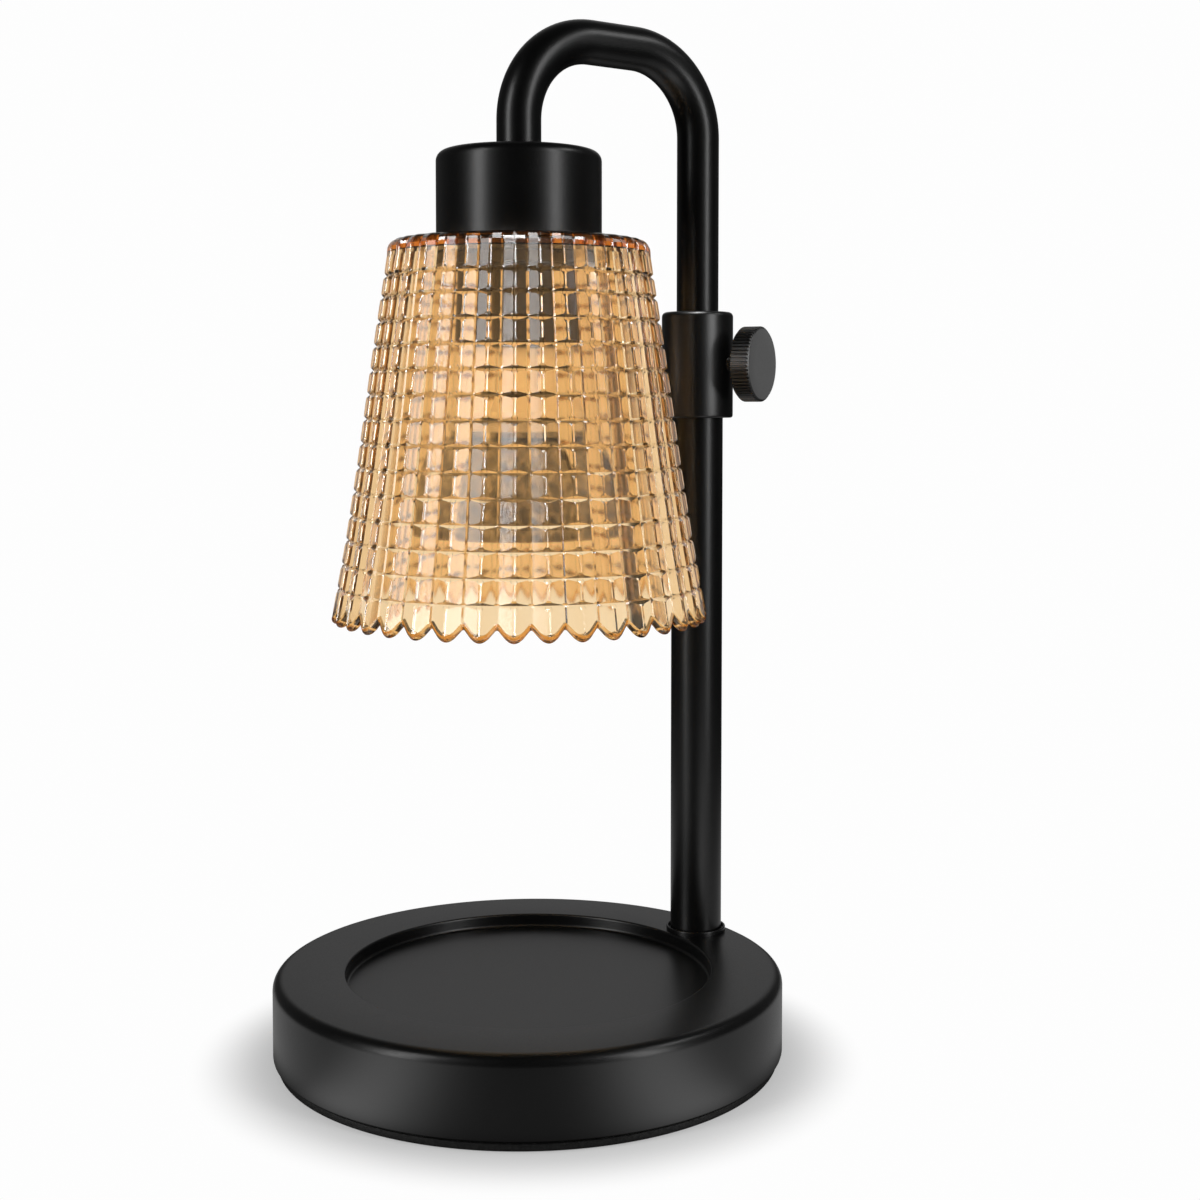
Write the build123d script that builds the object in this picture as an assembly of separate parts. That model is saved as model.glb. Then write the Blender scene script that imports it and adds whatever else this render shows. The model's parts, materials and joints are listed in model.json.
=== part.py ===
from build123d import *
from math import cos, pi, radians, sin, tan
import os

# Candle warmer lamp. A weighted round base with a sunk tray carries a pole at its back edge. A hook tube
# slides and turns in the pole, is held by a thumb screw in the collar, and hangs a ribbed glass shade
# with a spotlight bulb over the tray.
#
# Millimetres, +Z up, +Y from the base's centre towards the pole. The origin is the centre of the foot
# pad's underside. Heights named ..._Z are measured from there.

# Base
BASE_R = 75.0
BASE_TOP_Z = 25.5
BASE_LOW_Z = 2.75
BASE_WALL = 1.8
BASE_EDGE_ROUND = 3.3
TRAY_R = 53.9
TRAY_DEPTH = 4.0
FOOT_R = 73.65
FOOT_H = 2.1
COVER_R = 73.0
COVER_T = 2.0
BOSS_R = 4.2
BOSS_CIRCLE_R = 64.4
BOSS_BEARINGS = (45, 135, 225, 315)
WEIGHT_R = 52.0
WEIGHT_H = 12.0
WEIGHT_BACK_Y = 24.0
WEIGHT_SCREWS_AT = ((-28.0, -8.0), (28.0, -8.0))
SCREW_R = 2.0
SCREW_HEAD_R = 3.8
COVER_SCREW_L = 10.0
WEIGHT_SCREW_L = 8.0
HOLE_GAP = 0.05
INLET_Z = 11.0
INLET_R = 3.3
GROMMET_NECK_R = 4.95
GROMMET_FLANGE_R = 6.4
GROMMET_FLANGE_T = 1.4
TERMINAL_W = 20.0
TERMINAL_D = 13.0
TERMINAL_H = 10.0
TERMINAL_Y = 38.0
TERMINAL_X = (-5.0, 5.0)
TERMINAL_SCREW_R = 1.55
TERMINAL_SCREW_LOW = 4.0
TERMINAL_SLOT_W = 0.6
TERMINAL_SLOT_DEPTH = 0.6

# Pole and collar
POLE_Y = 63.6
POLE_R = 8.0
POLE_BORE_R = 7.0
POLE_TOP_Z = 196.0
PLUG_H = 12.0
NIPPLE_R = 5.0
NIPPLE_BORE_R = 3.5
POLE_WASHER_R = 7.6
POLE_WASHER_T = 1.5
POLE_NUT_FLAT_R = 7.0
POLE_NUT_T = 4.5
FOOT_RING_R = 9.3
FOOT_RING_H = 1.5
FOOT_RING_LIP = 0.65
FOOT_RING_FLOOR = 0.5
COLLAR_R = 11.1
COLLAR_LOW_Z = 187.8
COLLAR_TOP_Z = 220.6
LEAD_R = 2.0
RISER_R = 5.0

# Thumb screw: it stands out of the collar to the right and a little to the back
CLAMP_Z = 204.3
CLAMP_BEARING = 26.5
CLAMP_SCREW_R = 2.5
PAD_T = 1.5
KNOB_R = 11.6
KNOB_T = 6.5
KNOB_FACE_OUT = 22.0
KNOB_SOCKET = 1.5
KNOB_CROWN = 0.25
KNOB_FLUTES = 66
KNOB_FLUTE_DEPTH = 0.35

# Hook tube
ARM_REACH = 66.4
TUBE_R = 6.5
TUBE_BORE_R = 5.3
TUBE_LOW_Z = 125.0
TUBE_AXIS_TOP_Z = 299.0
BEND_R = 25.0
BUSH_H = 14.0
CLIP_T = 1.2
CLIP_R = 6.8
RUNNING_GAP = 0.05

# Head
HEAD_Y = POLE_Y - ARM_REACH
CAP_R = 24.0
CAP_TOP_Z = 265.0
CAP_WALL = 1.5
CAP_EDGE_ROUND = 3.0
HEAD_NIPPLE_R = 4.0
HEAD_NIPPLE_BORE_R = 2.75
HEAD_NUT_T = 3.0
HEAD_NUT_FLAT_R = 6.5
HEAD_WASHER_R = 9.0
ARM_PLUG_H = 4.6
HEAD_WASHER_T = 1.5
BRACKET_TOP_Z = 252.0
BRACKET_T = 2.0
BRACKET_FOOT_T = 1.5
BRACKET_HALF_W = 13.0
BRACKET_D = 10.0
BRACKET_FEET_GAP = 11.0
HOLDER_SCREW_R = 1.5
HOLDER_SCREW_L = 8.0
HOLDER_SCREW_HEAD_R = 2.6
HOLDER_SCREW_HEAD_H = 1.8
HOLDER_SCREW_X = (-8.2, 8.2)
HOLDER_R = 13.2
HOLDER_TOP_Z = 240.5
HOLDER_LOW_Z = 208.6
PIN_SPACING = 10.0
PIN_WELL_R = 3.0
PIN_WELL_DEPTH = 15.5
CONTACT_H = 8.0

# Glass shade. One groove under the plain top band, then evenly spaced rows of them down to the lower edge
BAND_GROOVE_Z = 228.8
FIRST_ROW_Z = 222.7
ROW_PITCH = 6.98
ROWS = 13
GROOVE_ROWS = [FIRST_ROW_Z - row * ROW_PITCH for row in range(ROWS)]
GROOVE_DEPTH = 1.15
GROOVE_HALF_W = 1.05
# Ridge radius of the outside at each height, from the lower edge up to the roof. It bends at grooves only
SHADE_LEVELS = (
    (129.0, 55.0), (GROOVE_ROWS[10], 50.6), (GROOVE_ROWS[7], 47.3), (GROOVE_ROWS[2], 42.3),
    (BAND_GROOVE_Z, 39.15), (235.0, 38.2), (238.0, 36.9), (239.3, 34.0),
)
SHADE_LOW_Z = SHADE_LEVELS[0][0]
SHADE_LOW_R = SHADE_LEVELS[0][1]
SHADE_TOP_Z = SHADE_LEVELS[-1][0]
SHADE_RIBS = 36
RIB_SHARE = 0.02
GLASS_T = 3.5
SCALLOP_DEPTH = 3.4
SCALLOP_CHORDS = 8
SHADE_ROOF_T = 3.5
SHADE_ROOF_R = 38.2
SHADE_HOLE_R = 14.5
SHADE_RING_R = 20.0
SHADE_RING_H = 4.0

# Bulb: a 50 mm spotlight bulb with a twist-lock base
BULB_R = 25.0
BULB_FACE_Z = 153.6
BULB_RIM_TOP_Z = 157.0
BULB_NECK_Z = 184.0
BULB_NECK_R = 14.0
REFLECTOR_TOP_Z = 186.0
REFLECTOR_T = 1.2
LENS_T = 2.2
PIN_R = 1.5
PIN_HEAD_R = 2.5
PIN_SHANK_L = 3.0
PIN_L = 6.8
CAPSULE_R = 4.6
CAPSULE_NECK_R = 3.4
CAPSULE_LOW_Z = BULB_FACE_Z + 11.4

COVER_TOP_Z = FOOT_H + COVER_T
TRAY_FLOOR_Z = BASE_TOP_Z - TRAY_DEPTH
PLUG_TOP_Z = BASE_TOP_Z + PLUG_H
UNDER_TOP_Z = BASE_TOP_Z - BASE_WALL
POLE_AT = (0.0, POLE_Y)
HEAD_AT = (0.0, HEAD_Y)
STANDING = (Align.CENTER, Align.CENTER, Align.MIN)

# Local frame of the clamp: its Z runs out of the pole's axis along the screw
CLAMP = Plane(
    origin=(0, POLE_Y, CLAMP_Z),
    x_dir=(-sin(radians(CLAMP_BEARING)), cos(radians(CLAMP_BEARING)), 0),
    z_dir=(cos(radians(CLAMP_BEARING)), sin(radians(CLAMP_BEARING)), 0),
)
# Local frame of the cord inlet: its Z runs backwards out of the base
INLET = Plane(origin=(0, 0, INLET_Z), x_dir=(1, 0, 0), z_dir=(0, 1, 0))


def ring(r_out, r_in, z_low, z_high, at=(0.0, 0.0)):
    """A plain disc, or a ring where r_in is more than 0."""
    height = z_high - z_low
    solid = Cylinder(r_out, height, align=STANDING)
    if r_in > 0:
        solid -= Cylinder(r_in, height, align=STANDING)
    return Pos(at[0], at[1], z_low) * solid


def turned(corners, at=(0.0, 0.0)):
    """Turn an outline of (radius, z) corners about a vertical axis. A third value rounds that corner."""
    outline = make_face(Polyline(*[corner[:2] for corner in corners], close=True))
    for corner in corners:
        if len(corner) == 3:
            nearest = outline.vertices().sort_by_distance((corner[0], corner[1], 0))[0]
            outline = fillet(nearest, corner[2])
    return Pos(at[0], at[1], 0) * revolve(Plane.XZ * outline, Axis.Z)


def hex_nut(flat_r, hole_r, z_low, z_high, at):
    """A hexagon nut, with two of its flats square to Y."""
    nut = extrude(RegularPolygon(flat_r, 6, major_radius=False) - Circle(hole_r), z_high - z_low)
    return Pos(at[0], at[1], z_low) * nut


def on_circle(radius, bearing):
    return (radius * cos(radians(bearing)), radius * sin(radians(bearing)))


def star_corners(r_ridge, r_valley, points, z):
    """The corners of a star at height z with as many ridges as points, and a valley at bearing 0."""
    step = 360 / points
    corners = []
    for i in range(points):
        corners.append((*on_circle(r_valley, i * step), z))
        corners.append((*on_circle(r_ridge, (i + 0.5) * step), z))
    return corners


def flat_face(corners):
    return Face(Wire.make_polygon(corners, close=True))


def boss_places():
    return [on_circle(BOSS_CIRCLE_R, bearing) for bearing in BOSS_BEARINGS]


def countersunk_screw(at, length):
    """A countersunk screw that enters the bottom cover from below."""
    tip_z = COVER_TOP_Z + length
    corners = [(0, FOOT_H), (SCREW_HEAD_R, FOOT_H), (SCREW_R, COVER_TOP_Z), (SCREW_R, tip_z), (0, tip_z)]
    return turned(corners, at)


# ---- base ----

def base_shell():
    inner_r = BASE_R - BASE_WALL
    tray_back_r = TRAY_R + BASE_WALL
    shell = turned([
        (0, TRAY_FLOOR_Z - BASE_WALL),
        (tray_back_r, TRAY_FLOOR_Z - BASE_WALL),
        (tray_back_r, UNDER_TOP_Z),
        (inner_r, UNDER_TOP_Z, BASE_EDGE_ROUND - BASE_WALL),
        (inner_r, BASE_LOW_Z),
        (BASE_R, BASE_LOW_Z, 0.6),
        (BASE_R, BASE_TOP_Z, BASE_EDGE_ROUND),
        (TRAY_R, BASE_TOP_Z, 0.5),
        (TRAY_R, TRAY_FLOOR_Z, 0.5),
        (0, TRAY_FLOOR_Z),
    ])
    shell += [ring(BOSS_R, 0, COVER_TOP_Z, UNDER_TOP_Z + 0.5, at) for at in boss_places()]
    shell -= [ring(SCREW_R + HOLE_GAP, 0, COVER_TOP_Z, COVER_TOP_Z + WEIGHT_H, at) for at in boss_places()]
    shell -= ring(NIPPLE_R + HOLE_GAP, 0, UNDER_TOP_Z - 1, BASE_TOP_Z + 1, POLE_AT)
    shell -= INLET * ring(GROMMET_NECK_R + HOLE_GAP, 0, BASE_R - 8, BASE_R + 8)
    return shell


def screw_places():
    return boss_places() + list(WEIGHT_SCREWS_AT)


def bottom_cover():
    cover = ring(COVER_R, 0, FOOT_H, COVER_TOP_Z)
    hole = [(0, FOOT_H), (SCREW_HEAD_R + HOLE_GAP, FOOT_H),
            (SCREW_R + HOLE_GAP, COVER_TOP_Z), (0, COVER_TOP_Z)]
    cover -= [turned(hole, at) for at in screw_places()]
    return cover


def cover_screws():
    return [countersunk_screw(at, COVER_SCREW_L) for at in boss_places()]


def weight_screws():
    return [countersunk_screw(at, WEIGHT_SCREW_L) for at in WEIGHT_SCREWS_AT]


def foot_pad():
    return turned([(0, 0), (FOOT_R, 0, 0.5), (FOOT_R, FOOT_H, 0.3), (0, FOOT_H)])


def base_weight():
    top_z = COVER_TOP_Z + WEIGHT_H
    weight = ring(WEIGHT_R, 0, COVER_TOP_Z, top_z)
    weight -= Pos(0, WEIGHT_BACK_Y, COVER_TOP_Z) * Box(
        2 * WEIGHT_R, WEIGHT_R, WEIGHT_H, align=(Align.CENTER, Align.MIN, Align.MIN)
    )
    weight -= [ring(SCREW_R + HOLE_GAP, 0, COVER_TOP_Z, top_z, at) for at in WEIGHT_SCREWS_AT]
    return weight


def cord_grommet():
    """A flange outside, a neck through the wall and a smaller flange inside."""
    inner_flange_r = GROMMET_FLANGE_R - 0.2
    wall_in = BASE_R - 2.1
    return INLET * turned([
        (INLET_R, wall_in - 1.5),
        (inner_flange_r, wall_in - 1.5),
        (inner_flange_r, wall_in),
        (GROMMET_NECK_R, wall_in),
        (GROMMET_NECK_R, BASE_R),
        (GROMMET_FLANGE_R, BASE_R),
        (GROMMET_FLANGE_R, BASE_R + GROMMET_FLANGE_T, 0.6),
        (INLET_R, BASE_R + GROMMET_FLANGE_T),
    ])


def terminal_block():
    """A two-way block on the bottom cover, behind the ballast, with its two screw holes."""
    block = Pos(0, TERMINAL_Y, COVER_TOP_Z) * Box(TERMINAL_W, TERMINAL_D, TERMINAL_H, align=STANDING)
    block = fillet(block.edges().filter_by(Axis.Z), 1.0)
    for x in TERMINAL_X:
        block -= ring(
            TERMINAL_SCREW_R + HOLE_GAP, 0, COVER_TOP_Z + TERMINAL_SCREW_LOW, COVER_TOP_Z + TERMINAL_H,
            (x, TERMINAL_Y),
        )
    return block


def terminal_screws():
    """Two slotted screws, a little below the block's top."""
    low_z = COVER_TOP_Z + TERMINAL_SCREW_LOW
    top_z = COVER_TOP_Z + TERMINAL_H - 1
    screws = []
    for x in TERMINAL_X:
        screw = ring(TERMINAL_SCREW_R, 0, low_z, top_z, (x, TERMINAL_Y))
        slot = Pos(x, TERMINAL_Y, top_z) * Box(3 * TERMINAL_SCREW_R, TERMINAL_SLOT_W, 2 * TERMINAL_SLOT_DEPTH)
        screws.append(screw - slot)
    return screws


def base_lead():
    """From the terminal block's back, up through the nipple, to the top of the pole's plug."""
    start = (0, TERMINAL_Y + TERMINAL_D / 2, COVER_TOP_Z + LEAD_R + 0.5)
    corner = (0, POLE_Y, start[2])
    path = FilletPolyline(start, corner, (0, POLE_Y, PLUG_TOP_Z), radius=8.0)
    return sweep(Plane(origin=start, z_dir=(0, 1, 0)) * Circle(LEAD_R), path=path)


# ---- pole ----

def pole():
    return ring(POLE_R, POLE_BORE_R, BASE_TOP_Z, POLE_TOP_Z, POLE_AT)


def pole_foot_ring():
    """A thin ring round the pole's foot, with a rolled outer lip and a shallow groove inside it."""
    top_z = BASE_TOP_Z + FOOT_RING_H
    floor_z = BASE_TOP_Z + FOOT_RING_FLOOR
    return turned([
        (POLE_R + HOLE_GAP, BASE_TOP_Z),
        (FOOT_RING_R, BASE_TOP_Z),
        (FOOT_RING_R, top_z, 0.3),
        (FOOT_RING_R - FOOT_RING_LIP, top_z, 0.3),
        (FOOT_RING_R - FOOT_RING_LIP, floor_z),
        (POLE_R + HOLE_GAP, floor_z),
    ], POLE_AT)


def pole_plug():
    return ring(POLE_BORE_R, NIPPLE_R + HOLE_GAP, BASE_TOP_Z, PLUG_TOP_Z, POLE_AT)


def pole_nipple():
    return ring(NIPPLE_R, NIPPLE_BORE_R, BASE_TOP_Z - PLUG_H, PLUG_TOP_Z - 0.5, POLE_AT)


def pole_washer():
    return ring(POLE_WASHER_R, NIPPLE_R + HOLE_GAP, UNDER_TOP_Z - POLE_WASHER_T, UNDER_TOP_Z, POLE_AT)


def pole_nut():
    top_z = UNDER_TOP_Z - POLE_WASHER_T
    return hex_nut(POLE_NUT_FLAT_R, NIPPLE_R + HOLE_GAP, top_z - POLE_NUT_T, top_z, POLE_AT)


def riser_lead():
    """The outer shape of the springy coil of lead between the pole's plug and the hook tube."""
    return ring(RISER_R, 0, PLUG_TOP_Z, TUBE_LOW_Z - CLIP_T, POLE_AT)


def collar():
    """Sits on the pole's end with a wide bore and guides the hook tube with a narrower one above it."""
    sleeve = turned([
        (POLE_R + HOLE_GAP, COLLAR_LOW_Z),
        (COLLAR_R, COLLAR_LOW_Z, 0.8),
        (COLLAR_R, COLLAR_TOP_Z, 0.8),
        (TUBE_R + RUNNING_GAP, COLLAR_TOP_Z, 0.3),
        (TUBE_R + RUNNING_GAP, POLE_TOP_Z),
        (POLE_R + HOLE_GAP, POLE_TOP_Z),
    ], POLE_AT)
    return sleeve - CLAMP * ring(CLAMP_SCREW_R + HOLE_GAP, 0, TUBE_R - 1, COLLAR_R + 1)


# ---- thumb screw ----

def clamp_pad():
    inner = TUBE_R + RUNNING_GAP
    return CLAMP * ring(CLAMP_SCREW_R - HOLE_GAP, 0, inner, inner + PAD_T)


def knob_stud():
    inner = TUBE_R + RUNNING_GAP + PAD_T
    return CLAMP * ring(CLAMP_SCREW_R, 0, inner, KNOB_FACE_OUT - KNOB_SOCKET)


def knob():
    """A low disc with a straight-knurled rim, rounded edges and a face that is slightly crowned."""
    back = KNOB_FACE_OUT - KNOB_T
    socket = KNOB_FACE_OUT - KNOB_SOCKET
    blank = turned([
        (CLAMP_SCREW_R + HOLE_GAP, back),
        (KNOB_R, back, 0.6),
        (KNOB_R, KNOB_FACE_OUT - KNOB_CROWN, 0.6),
        (KNOB_R - 2.5, KNOB_FACE_OUT - KNOB_CROWN / 2),
        (0, KNOB_FACE_OUT),
        (0, socket),
        (CLAMP_SCREW_R + HOLE_GAP, socket),
    ])
    teeth = star_corners(KNOB_R, KNOB_R - KNOB_FLUTE_DEPTH, KNOB_FLUTES, back - 1)
    knurl = extrude(flat_face(teeth), KNOB_T + 2, dir=(0, 0, 1))
    return CLAMP * (blank & knurl)


# ---- hook ----

def hook_path(low_z, front_z):
    """Up the pole's axis, forwards over two bends, and down the head's axis."""
    return FilletPolyline(
        (0, POLE_Y, low_z),
        (0, POLE_Y, TUBE_AXIS_TOP_Z),
        (0, HEAD_Y, TUBE_AXIS_TOP_Z),
        (0, HEAD_Y, front_z),
        radius=BEND_R,
    )


def hook_tube():
    section = Pos(0, POLE_Y, TUBE_LOW_Z) * (Circle(TUBE_R) - Circle(TUBE_BORE_R))
    return sweep(section, path=hook_path(TUBE_LOW_Z, CAP_TOP_Z))


def arm_lead():
    low_z = TUBE_LOW_Z - CLIP_T
    return sweep(Pos(0, POLE_Y, low_z) * Circle(LEAD_R), path=hook_path(low_z, HOLDER_TOP_Z - PLUG_H))


def guide_bush():
    return ring(POLE_BORE_R - RUNNING_GAP, TUBE_R + RUNNING_GAP, TUBE_LOW_Z, TUBE_LOW_Z + BUSH_H, POLE_AT)


def bush_clips():
    """One clip closes the tube's end under the bush, the other is snapped round the tube above it."""
    above_z = TUBE_LOW_Z + BUSH_H + RUNNING_GAP
    return [
        ring(CLIP_R, LEAD_R + HOLE_GAP, TUBE_LOW_Z - CLIP_T, TUBE_LOW_Z - RUNNING_GAP, POLE_AT),
        ring(CLIP_R, TUBE_R + HOLE_GAP / 5, above_z, above_z + CLIP_T, POLE_AT),
    ]


# ---- head ----

def head_cap():
    low_z = SHADE_TOP_Z
    return turned([
        (HEAD_NIPPLE_R + HOLE_GAP, CAP_TOP_Z),
        (CAP_R, CAP_TOP_Z, CAP_EDGE_ROUND),
        (CAP_R, low_z),
        (CAP_R - CAP_WALL, low_z),
        (CAP_R - CAP_WALL, CAP_TOP_Z - CAP_WALL, CAP_EDGE_ROUND - CAP_WALL),
        (HEAD_NIPPLE_R + HOLE_GAP, CAP_TOP_Z - CAP_WALL),
    ], HEAD_AT)


def arm_plug():
    return ring(TUBE_BORE_R, HEAD_NIPPLE_R + HOLE_GAP, CAP_TOP_Z, CAP_TOP_Z + ARM_PLUG_H, HEAD_AT)


def head_nipple():
    low_z = BRACKET_TOP_Z - BRACKET_T - 1.5 * HEAD_NUT_T
    return ring(HEAD_NIPPLE_R, HEAD_NIPPLE_BORE_R, low_z, CAP_TOP_Z + ARM_PLUG_H - 0.3, HEAD_AT)


def head_washer():
    top_z = CAP_TOP_Z - CAP_WALL
    return ring(HEAD_WASHER_R, HEAD_NIPPLE_R + HOLE_GAP, top_z - HEAD_WASHER_T, top_z, HEAD_AT)


def head_nuts():
    """Three equal thin nuts: one under the cap, one each side of the holder bracket."""
    under_washer_z = CAP_TOP_Z - CAP_WALL - HEAD_WASHER_T
    top_faces = (under_washer_z, BRACKET_TOP_Z + HEAD_NUT_T, BRACKET_TOP_Z - BRACKET_T)
    hole_r = HEAD_NIPPLE_R + HOLE_GAP
    return [hex_nut(HEAD_NUT_FLAT_R, hole_r, z - HEAD_NUT_T, z, HEAD_AT) for z in top_faces]


def holder_bracket():
    """A stirrup: a plate on the nipple, two legs, and two feet that the lamp holder is screwed to."""
    tall = BRACKET_TOP_Z - HOLDER_TOP_Z
    outside = Box(2 * BRACKET_HALF_W, BRACKET_D, tall, align=STANDING)
    inside_h = tall - BRACKET_T - BRACKET_FOOT_T
    inside = Pos(0, 0, BRACKET_FOOT_T) * Box(
        2 * (BRACKET_HALF_W - BRACKET_T), BRACKET_D, inside_h, align=STANDING
    )
    feet_gap = Box(BRACKET_FEET_GAP, BRACKET_D, BRACKET_FOOT_T, align=STANDING)
    bracket = Pos(0, HEAD_Y, HOLDER_TOP_Z) * (outside - inside - feet_gap)
    bracket -= ring(HEAD_NIPPLE_R + HOLE_GAP, 0, BRACKET_TOP_Z - BRACKET_T, BRACKET_TOP_Z, HEAD_AT)
    foot_top_z = HOLDER_TOP_Z + BRACKET_FOOT_T
    screw_hole_r = HOLDER_SCREW_R + HOLE_GAP
    bracket -= [ring(screw_hole_r, 0, HOLDER_TOP_Z, foot_top_z, (x, HEAD_Y)) for x in HOLDER_SCREW_X]
    return bracket


def holder_screws():
    head_z = HOLDER_TOP_Z + BRACKET_FOOT_T
    tip_z = head_z - HOLDER_SCREW_L
    top_z = head_z + HOLDER_SCREW_HEAD_H
    corners = [(0, tip_z), (HOLDER_SCREW_R, tip_z), (HOLDER_SCREW_R, head_z), (HOLDER_SCREW_HEAD_R, head_z),
               (HOLDER_SCREW_HEAD_R, top_z, 0.6), (0, top_z)]
    return [turned(corners, (x, HEAD_Y)) for x in HOLDER_SCREW_X]


def pin_places():
    return [(-PIN_SPACING / 2, HEAD_Y), (PIN_SPACING / 2, HEAD_Y)]


def lamp_holder():
    """A round holder with two pin wells below and a channel for the lead and two screw holes above."""
    holder = turned([
        (0, HOLDER_LOW_Z), (HOLDER_R, HOLDER_LOW_Z, 0.8), (HOLDER_R, HOLDER_TOP_Z, 0.4), (0, HOLDER_TOP_Z),
    ], HEAD_AT)
    holder -= [ring(PIN_WELL_R, 0, HOLDER_LOW_Z, HOLDER_LOW_Z + PIN_WELL_DEPTH, at) for at in pin_places()]
    holder -= ring(LEAD_R + HOLE_GAP, 0, HOLDER_TOP_Z - PLUG_H, HOLDER_TOP_Z, HEAD_AT)
    hole_r = HOLDER_SCREW_R + HOLE_GAP
    hole_low_z = HOLDER_TOP_Z - HOLDER_SCREW_L + 1
    holder -= [ring(hole_r, 0, hole_low_z, HOLDER_TOP_Z, (x, HEAD_Y)) for x in HOLDER_SCREW_X]
    return holder


def holder_contacts():
    """A contact block at the upper end of each pin well."""
    top_z = HOLDER_LOW_Z + PIN_WELL_DEPTH - 0.5
    return [ring(PIN_WELL_R - 0.1, 0, top_z - CONTACT_H, top_z, at) for at in pin_places()]


# ---- shade ----

def ribbed_cone():
    """The shade's outside: a solid of flat faces, since the ribs stand out in proportion to the radius."""
    rings = [star_corners(r, r * (1 - RIB_SHARE), SHADE_RIBS, z) for z, r in SHADE_LEVELS]
    faces = [flat_face(rings[0]), flat_face(rings[-1])]
    for lower, upper in zip(rings, rings[1:]):
        for i in range(2 * SHADE_RIBS):
            faces.append(flat_face([lower[i - 1], lower[i], upper[i], upper[i - 1]]))
    return Solid(Shell(faces))


def ridge_radius(z):
    """The outside's ridge radius at height z."""
    for (low_z, low_r), (high_z, high_r) in zip(SHADE_LEVELS, SHADE_LEVELS[1:]):
        if low_z <= z <= high_z:
            return low_r + (high_r - low_r) * (z - low_z) / (high_z - low_z)


def groove_cutter(z):
    """What is cut away for the groove at height z: a V that narrows inwards, all round."""
    floor_r = ridge_radius(z) - GROOVE_DEPTH
    over = 3
    open_r = floor_r + over * GROOVE_DEPTH
    open_h = over * GROOVE_HALF_W
    return turned([(floor_r, z), (open_r, z + open_h), (open_r, z - open_h)])


def scallop_cutter(bearing):
    """What is cut away at one valley of the lower edge, so that the edge becomes an even wave."""
    half = SHADE_LOW_R * tan(pi / SHADE_RIBS)
    corners = [(half, -SCALLOP_DEPTH), (-half, -SCALLOP_DEPTH)]
    for i in range(SCALLOP_CHORDS + 1):
        across = 2 * i / SCALLOP_CHORDS - 1
        corners.append((half * across, SCALLOP_DEPTH * (1 + cos(pi * across)) / 2))
    x, y = on_circle(1.0, bearing)
    wall = Plane(origin=(0, 0, SHADE_LOW_Z), x_dir=(-y, x, 0), z_dir=(x, y, 0))
    face = wall * Pos(0, 0, SHADE_LOW_R - 10) * make_face(Polyline(*corners, close=True))
    return extrude(face, 20)


def shade_glass():
    """A ribbed, grooved cone with a flat roof, a hole for the lamp holder and a scalloped edge."""
    shade = ribbed_cone() - [groove_cutter(z) for z in (BAND_GROOVE_Z, *GROOVE_ROWS)]
    roof_z = SHADE_TOP_Z - SHADE_ROOF_T
    corners = [(0, SHADE_LOW_Z - 5), (SHADE_LOW_R - GLASS_T, SHADE_LOW_Z - 5)]
    corners += [(r - GLASS_T, z) for z, r in SHADE_LEVELS if z <= BAND_GROOVE_Z]
    corners += [(SHADE_ROOF_R - GLASS_T, roof_z, 1.5), (0, roof_z)]
    shade -= turned(corners)
    shade -= ring(SHADE_HOLE_R, 0, roof_z - 1, SHADE_TOP_Z + 1)
    shade -= [scallop_cutter(i * 360 / SHADE_RIBS) for i in range(SHADE_RIBS)]
    return Pos(0, HEAD_Y, 0) * shade


def shade_ring():
    """A knurled ring on the holder's thread, screwed up against the shade's roof."""
    top_z = SHADE_TOP_Z - SHADE_ROOF_T
    return turned([
        (HOLDER_R + HOLE_GAP, top_z - SHADE_RING_H),
        (SHADE_RING_R, top_z - SHADE_RING_H, 0.8),
        (SHADE_RING_R, top_z, 0.4),
        (HOLDER_R + HOLE_GAP, top_z),
    ], HEAD_AT)


# ---- bulb ----

def bulb_base():
    return turned([
        (6.0, REFLECTOR_TOP_Z),
        (BULB_NECK_R, REFLECTOR_TOP_Z),
        (BULB_NECK_R, REFLECTOR_TOP_Z + 4, 1.0),
        (10.5, REFLECTOR_TOP_Z + 11, 3.0),
        (10.0, HOLDER_LOW_Z, 0.8),
        (0, HOLDER_LOW_Z),
        (0, REFLECTOR_TOP_Z + 13),
        (6.0, REFLECTOR_TOP_Z + 11),
    ], HEAD_AT)


def bulb_pins():
    low_z = HOLDER_LOW_Z
    head_z = low_z + PIN_SHANK_L
    top_z = low_z + PIN_L
    corners = [(0, low_z), (PIN_R, low_z), (PIN_R, head_z), (PIN_HEAD_R, head_z),
               (PIN_HEAD_R, top_z, 0.5), (0, top_z)]
    return [turned(corners, at) for at in pin_places()]


def bulb_collar():
    return turned([
        (BULB_NECK_R + HOLE_GAP, BULB_NECK_Z),
        (BULB_NECK_R + 1.3, BULB_NECK_Z, 0.4),
        (BULB_NECK_R + 1.3, BULB_NECK_Z + 4, 0.4),
        (BULB_NECK_R + HOLE_GAP, BULB_NECK_Z + 4),
    ], HEAD_AT)


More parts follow.
